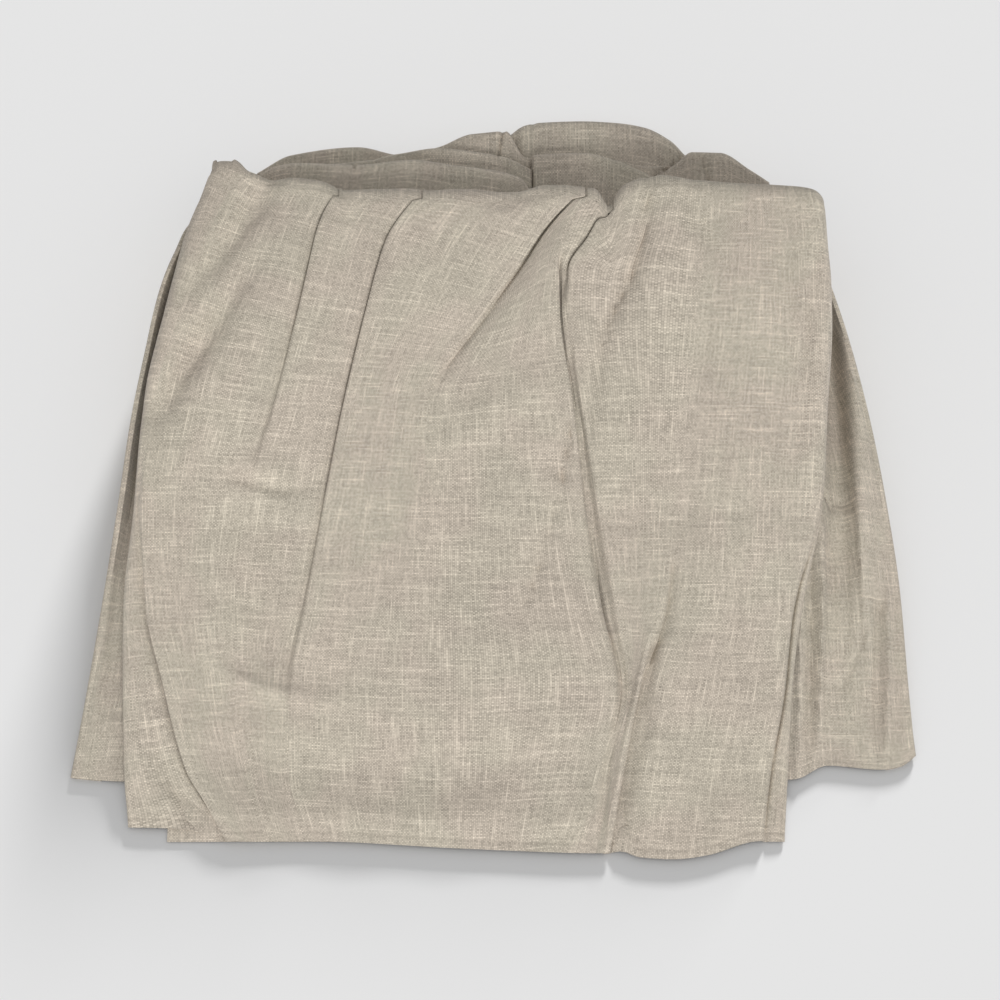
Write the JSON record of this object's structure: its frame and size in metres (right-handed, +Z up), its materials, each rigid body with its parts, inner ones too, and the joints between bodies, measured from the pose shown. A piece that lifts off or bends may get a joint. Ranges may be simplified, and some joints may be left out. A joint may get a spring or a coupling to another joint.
{
  "type": "bed skirt",
  "caption": "Folded linen bed skirt: a pleated drop on top of a folded end drop, a second drop fanned out as wings, and the plain platform folded under them.",
  "frame": {"origin": "middle of the folded bundle, on the surface it lies on", "axes": "+X along the hems to the right, +Y from the hems towards the folded headings, +Z up"},
  "size_m": [0.4188, 0.4074, 0.0678],
  "materials": {
    "linen": "oatmeal slub linen in a plain weave, matt"
  },
  "bodies": {
    "root": {"near_drop": "linen", "foot_drop": "linen", "far_drop": "linen", "platform": "linen"}
  },
  "joints": []
}
